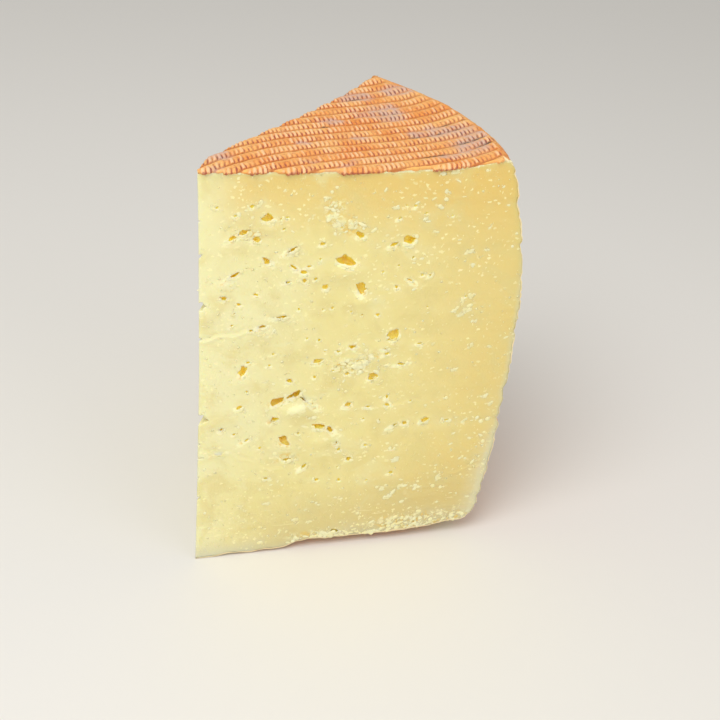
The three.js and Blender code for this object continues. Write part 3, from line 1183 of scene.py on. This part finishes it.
def crumbMaterial():
    material, tree = newMaterial("curd_crumb")
    tone = stepUp(lumps(get(tree, "ShaderNodeTexCoord", give="Object"), 0.004, 2), -0.2, 0.2)
    base = mixed(tone, colour(crumbLook["dull"]), colour(crumbLook["bright"]))
    return finishMaterial(material, crumbLook, base)


pasteFinish = pasteMaterial()
eyeFinish = eyeMaterial()
pastePiece = addPaste()
runTree(pastePiece, reliefTree(), {
    "Waviness": 2 * paste["waviness"] * mm, "Ripple": 2 * paste["ripple"] * mm,
    "Tearing": paste["tearing"] * mm, "Grain": 2 * paste["grain"] * mm, "Finish": pasteFinish})
print("paste body", len(pastePiece.data.polygons), "faces")
eyeCutters = addCutters([
    (1, np.zeros(3), frontRight, frontIn, allFrontEyes),
    (2, backStart, backRight, backIn, backEyes),
])
eyeCutters.data.materials.append(eyeFinish)
notchCutters = addNotches()
notchCutters.data.materials.append(pasteFinish)
runTree(pastePiece, openingTree(), {"Eyes": eyeCutters, "Notches": notchCutters, "Eye finish": eyeFinish})
for cutter in (eyeCutters, notchCutters):
    bpy.data.objects.remove(cutter)
print("eyes opened", len(pastePiece.data.polygons), "faces", [m.name for m in pastePiece.data.materials])

rindPiece = addRind()
runTree(rindPiece, weaveTree(), {
    "Row pitch": weave["rowPitch"], "Row height": weave["rowHeight"] * mm,
    "Stitch pitch": weave["stitchPitch"], "Lean": weave["lean"],
    "Stitch height": weave["stitchHeight"] * mm, "Pocket depth": weave["pocketDepth"] * mm,
    "Cord height": weave["cordHeight"] * mm, "Finish": rindMaterial()})
print("rind", len(rindPiece.data.polygons), "faces")

# crumbs and torn flakes lying on the cuts

crumbs = {
    "onFront": 1900,
    "onBack": 1000,
    "underEyes": 2.2,  # flakes for each mm of eye width
    "inTorn": 26,  # flakes for each torn place of full strength
    "seed": 11,
    "smallest": 0.1,
    "largest": 0.42,
    "flatness": 0.11,
    "ragged": 1.7,  # share of each crumb's own size
    "longest": 3.2,  # times its width
    "shreds": 7,  # in each flake of the list below
    "palesUnder": 0.2,  # mm, the smallest that leaves a pale mark under it
}

# flakes that stand out: [x, z, size, stretch, tilt]
flakes = [
    [44.5, 95.7, 0.55, 1.6, 10], [56.9, 99, 0.6, 1.8, -20], [52, 92.5, 0.5, 1.4, 30],
    [54.8, 89.5, 0.45, 1.5, 0], [63.6, 84, 0.6, 1.8, 20], [68, 84, 0.4, 1.5, 0],
    [65, 80.2, 0.5, 1.6, -30], [65.2, 72.2, 0.6, 2.0, 15], [63.3, 70.6, 0.55, 1.5, 60],
    [61.8, 68.5, 0.6, 1.8, 30], [64.8, 68.6, 0.7, 1.6, -10], [63.5, 67, 0.5, 1.5, 0],
    [67, 65, 0.45, 1.6, 20], [66.8, 58, 0.55, 1.7, 40], [71.7, 57.5, 0.45, 1.5, 10],
    [63.5, 51.5, 0.5, 1.6, 0], [72.5, 43, 0.55, 2.2, 15], [75, 41, 0.6, 2.4, 20], [68, 36, 0.5, 1.6, 40],
    [48, 34.7, 0.6, 1.6, 0], [50.5, 25.8, 0.7, 1.7, 25], [48.5, 17.5, 0.7, 1.8, 35],
    [53, 17.3, 0.8, 1.5, 10], [57, 16.8, 0.6, 2.4, -12], [63, 18.8, 0.7, 1.5, 60],
    [49.5, 14, 0.7, 1.5, 20], [25.7, 9.5, 0.6, 1.6, 10], [29.3, 8.3, 0.55, 1.5, 0],
    [17.7, 15.6, 0.6, 1.8, 20], [10.8, 15.2, 0.5, 1.5, 0], [13.5, 97.8, 0.6, 1.6, 50],
    [28.5, 98.5, 0.5, 1.5, 20], [37.2, 54.2, 0.9, 2.6, 8], [41.0, 55.1, 0.6, 2.2, 20],
    [33.8, 54.6, 0.5, 2.0, -10], [39.5, 57.0, 0.5, 2.6, 15], [10.9, 89.3, 0.55, 2.4, 15],
    [21.9, 85.1, 0.6, 2.2, 12], [31.0, 91.8, 0.6, 2.0, 0], [35.2, 91.6, 0.6, 1.8, 30],
    [34.6, 80.9, 0.5, 2.4, -15], [19.9, 68.4, 0.6, 2.4, 5], [17.6, 65.2, 0.6, 2.2, 40],
    [14.4, 64.9, 0.5, 2.0, -30], [30.2, 36.6, 0.5, 2.4, -8], [21.8, 32.4, 0.6, 2.0, -10],
    [24.6, 28.4, 0.6, 2.6, 22], [57.6, 36.2, 0.5, 2.0, 20], [42.9, 50.2, 0.5, 1.8, 20],
    [47.6, 61.0, 0.5, 2.0, 10], [16.2, 92.6, 0.5, 2.2, -5], [49.0, 85.9, 0.5, 1.8, 0],
    [57.5, 104.0, 0.7, 1.6, 10], [55.0, 103.6, 0.5, 1.4, 0], [13.2, 105.4, 0.6, 1.7, 5],
    [8.6, 105.2, 0.5, 1.6, 0],
]


def scatterCrumbs():
    # seats for every crumb: the wall (0 front, 1 back), its x and z there, size, stretch and tilt
    rng = np.random.default_rng(crumbs["seed"])
    seats = []
    for x, z, size, stretch, tilt in flakes:
        # a torn flake is a few shreds lying together
        for shred in range(crumbs["shreds"]):
            along = rng.uniform(-0.8, 0.8) * size * stretch
            aside = rng.uniform(-0.6, 0.6) * size
            turn = math.radians(tilt)
            seats.append([0, x + along * math.cos(turn) - aside * math.sin(turn),
                          z + along * math.sin(turn) + aside * math.cos(turn),
                          size * rng.uniform(0.3, 0.72), rng.uniform(1.1, 2.3), tilt + rng.normal(0, 35)])

    def fleck(wall, x, z, low, high, power, tilt):
        size = low + (high - low) * rng.random() ** power
        stretch = 1 + (crumbs["longest"] - 1) * rng.random() ** 1.7
        seats.append([wall, x, z, size / stretch ** 0.5, stretch, tilt])

    for wall, count in ((0, crumbs["onFront"]), (1, crumbs["onBack"])):
        for index in range(count):
            x = rng.uniform(0.5, 79)
            if x > 46 and rng.random() < 0.5:
                continue
            fleck(wall, x, rng.uniform(1.5, 105.5), crumbs["smallest"], crumbs["largest"], 3.0,
                  rng.normal(15, 40))
    for wall, eyes in ((0, allFrontEyes), (1, backEyes)):
        for eye in eyes:
            tilt = math.radians(eye[4])
            for index in range(int(crumbs["underEyes"] * max(eye[2], eye[3]) + rng.random())):
                around = math.radians(rng.normal(-75, 55))
                out = rng.uniform(1.0, 1.3)
                a = 0.5 * out * (eye[2] + 0.4) * math.cos(around)
                b = 0.5 * out * (eye[3] + 0.4) * math.sin(around)
                x = eye[0] + a * math.cos(tilt) - b * math.sin(tilt)
                z = eye[1] + a * math.sin(tilt) + b * math.cos(tilt)
                fleck(wall, x, z, 0.16, 0.55, 1.6, eye[4] + math.degrees(around) + 90 + rng.uniform(-30, 30))
    for cx, cz, halfX, halfZ, strength in tornPlaces:
        for index in range(int(crumbs["inTorn"] * strength * halfX * halfZ / 9)):
            x = rng.normal(cx, halfX * 0.6)
            z = rng.normal(cz, halfZ * 0.6)
            fleck(0, x, z, 0.15, 0.75, 2.2, rng.uniform(-30, 60))
    for x in np.arange(24, 75, 0.55):
        # the lower edge broke away in small white crumbs
        z = float(baseHeight(np.array([[x, 0.0]]))[0]) + abs(rng.normal(0, 0.7)) + 0.35
        fleck(0, x + rng.uniform(-0.3, 0.3), z, 0.2, 0.75, 1.5, rng.uniform(-40, 40))
    return np.array(seats)


def paleUnder(x, z, seats):
    # the paste is paler where a flake tore out of it
    share = np.zeros(len(x))
    chosen = (seats[:, 0] == 0) & (seats[:, 3] > crumbs["palesUnder"])
    for cx, cz, size, stretch, tilt in seats[chosen, 1:]:
        angle = math.radians(tilt)
        near = (abs(x - cx) < 2.5) & (abs(z - cz) < 2.5)
        dx, dz = x[near] - cx, z[near] - cz
        a = (dx * math.cos(angle) + dz * math.sin(angle)) / (size * stretch + 0.15)
        b = (dz * math.cos(angle) - dx * math.sin(angle)) / (size + 0.15)
        share[near] = np.maximum(share[near], 0.5 * np.exp(-(a * a + b * b)))
    return share


def markLips(piece, seats):
    # the pale rim round each eye and flake, partly the torn paste's own paler colour and partly a painted
    # highlight, strongest under each eye where light from above catches it and on the lit tops of the
    # swellings; stored on the points for the material
    mesh = piece.data
    points = np.empty(len(mesh.vertices) * 3)
    mesh.vertices.foreach_get("co", points)
    points = (points.reshape(-1, 3) - toFrame([[0, 0, 0]])[0]) / mm
    share = np.zeros(len(points))
    onFront = points[:, 1] < 0.9
    x, z = points[onFront, 0], points[onFront, 2]
    rimsAndHighlights = np.maximum(lipShare(x, z, allFrontEyes, 0.75), 0.5 * lipShare(x, z, allFrontEyes, 1.7))
    # painted highlight: the lit domes of the swellings are made paler
    for cx, cz, halfX, halfZ, height in swellings:
        away = ((x - cx) / halfX) ** 2 + ((z - cz) / halfZ) ** 2
        rimsAndHighlights = np.maximum(rimsAndHighlights, 0.8 * height * np.exp(-away * 1.2))
    crest = topHeight(points[onFront, :2]) - z
    rimsAndHighlights = np.maximum(rimsAndHighlights, 0.45 * smooth(1.4, 0.5, crest))
    share[onFront] = np.clip(np.maximum(rimsAndHighlights, paleUnder(x, z, seats)), 0, 1)
    offset = points[:, :2] - bluntTip
    onBack = (offset @ backInward < 0.9) & (points[:, 1] > 3)
    share[onBack] = lipShare(offset[onBack] @ backAlong, points[onBack, 2], backEyes, 0.45)
    storeNote(mesh, "lip", share)


def addSeats(table):
    wall, x, z, size, stretch, tilt = table.T
    front = np.column_stack([x, np.zeros(len(x))])
    back = bluntTip + x[:, None] * backAlong
    plan = np.where(wall[:, None] == 0, front, back)
    facing = np.where(wall[:, None] == 0, [[0.0, -1.0]], [-backInward])
    points = np.column_stack([plan + facing * 2.0, z])
    mesh = bpy.data.meshes.new("crumb_seats")
    mesh.from_pydata(toFrame(points).tolist(), [], [])
    storeNote(mesh, "facing", np.column_stack([facing, np.zeros(len(x))]))
    storeNote(mesh, "size", np.column_stack([size * stretch, size, size * crumbs["flatness"]]) * mm)
    storeNote(mesh, "spin", np.radians(tilt))
    return addObject("crumb_seats", mesh)


def crumbTree():
    tree, ins = newGeometryTree("curd_crumbs", {
        "Paste": ("Object", None), "Reach": ("Float", 3.2 * mm), "Large": ("Float", 0.4 * mm),
        "Ragged": ("Float", 1.5), "Most torn": ("Float", 0.38 * mm), "Finish": ("Material", None)})
    facing = readNote(tree, "facing", "FLOAT_VECTOR")
    size = readNote(tree, "size", "FLOAT_VECTOR")
    body = get(tree, "GeometryNodeObjectInfo", give="Geometry", Object=ins["Paste"])
    ray = put(tree, "GeometryNodeRaycast", Target_Geometry=body, Ray_Direction=scaled(facing, -1.0),
              Ray_Length=ins["Reach"])
    lying = get(tree, "FunctionNodeAlignRotationToVector", {"axis": "Z"}, Vector=facing)
    turned = put(tree, "FunctionNodeRotateRotation", {"rotation_space": "LOCAL"}, Rotation=lying)
    spin = get(tree, "FunctionNodeAxisAngleToRotation", Axis=(0, 0, 1), Angle=readNote(tree, "spin"))
    fill(turned.inputs[1], spin)
    width = get(tree, "ShaderNodeSeparateXYZ", Vector=size)
    large = calc("GREATER_THAN", width, ins["Large"])
    where = get(tree, "GeometryNodeInputPosition")
    away = vectorCalc("SUBTRACT", Wire(ray.outputs["Hit Position"]), where)
    joined = put(tree, "GeometryNodeJoinGeometry")
    for fineness, chosen in ((2, large), (1, 1.0 - large)):
        grain = get(tree, "GeometryNodeMeshIcoSphere", Radius=1.0, Subdivisions=fineness)
        strewn = get(tree, "GeometryNodeInstanceOnPoints", Points=ins["Geometry"], Instance=grain,
                     Selection=chosen * Wire(ray.outputs["Is Hit"]), Rotation=Wire(turned.outputs[0]),
                     Scale=size)
        laid = get(tree, "GeometryNodeTranslateInstances", Instances=strewn, Translation=away,
                   Local_Space=False)
        fill(joined.inputs[0], laid)
    solid = get(tree, "GeometryNodeRealizeInstances", Geometry=Wire(joined.outputs[0]))
    stir = stirring(where, 0.45 * mm, calc("MINIMUM", ins["Ragged"] * width, ins["Most torn"]))
    # only along the cut, so the flakes stay as flat as they lay
    off = scaled(facing, vectorCalc("DOT_PRODUCT", stir, facing) * 0.95)
    torn = get(tree, "GeometryNodeSetPosition", Geometry=solid, Offset=vectorCalc("SUBTRACT", stir, off))
    return finishTree(get(tree, "GeometryNodeSetShadeSmooth", Geometry=torn), ins["Finish"])


crumbSeats = scatterCrumbs()
markLips(pastePiece, crumbSeats)
seatPiece = addSeats(crumbSeats)
crumbPiece = runTree(seatPiece, crumbTree(), {
    "Paste": pastePiece, "Ragged": crumbs["ragged"], "Finish": crumbMaterial()}, "curd_crumbs")
bpy.data.objects.remove(seatPiece)
print("crumbs", len(crumbPiece.data.polygons), "faces")

# floor, light and the rest of the studio

studio = {
    "floor": "#e7e4de",
    "floorHalf": 3.0,
    "floorRoughness": 0.8,
    "world": 0.54,
    "worldColour": (1, 0.99, 0.97, 1),
    "aim": (0, 0, 0.05),
    "key": {"place": (-0.29, -0.33, 0.65), "size": 0.5, "power": 3.45},
    "fill": {"place": (0.4, -0.6, 0.3), "size": 0.6, "power": 0.87},
}


def addFloor():
    mesh = bpy.data.meshes.new("floor")
    half = studio["floorHalf"]
    corners = [(-half, -half, 0), (half, -half, 0), (half, half, 0), (-half, half, 0)]
    mesh.from_pydata(corners, [], [(0, 1, 2, 3)])
    floor = addObject("floor", mesh)
    material, tree = newMaterial("studio_floor")
    mesh.materials.append(finishMaterial(material, {"roughness": studio["floorRoughness"]},
                                         colour(studio["floor"])))


def addLight(name):
    plan = studio[name]
    lamp = bpy.data.lights.new(name, "AREA")
    lamp.shape = "DISK"
    lamp.size = plan["size"]
    lamp.energy = plan["power"]
    light = addObject(name, lamp)
    light.location = plan["place"]
    gaze = Vector(studio["aim"]) - Vector(plan["place"])
    light.rotation_euler = gaze.to_track_quat("-Z", "Y").to_euler()


addFloor()
addLight("key")
addLight("fill")
world = bpy.data.worlds.new("studio")
world.use_nodes = True
sky = world.node_tree.nodes["Background"]
sky.inputs[0].default_value = studio["worldColour"]
sky.inputs[1].default_value = studio["world"]
bpy.context.scene.world = world
bpy.context.scene.view_settings.view_transform = "Standard"

for piece, slot in ((pastePiece, "paste"), (rindPiece, "rind"), (crumbPiece, "paste")):
    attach(piece, "root")
    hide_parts("cheese_wedge")

print("pieces ready")
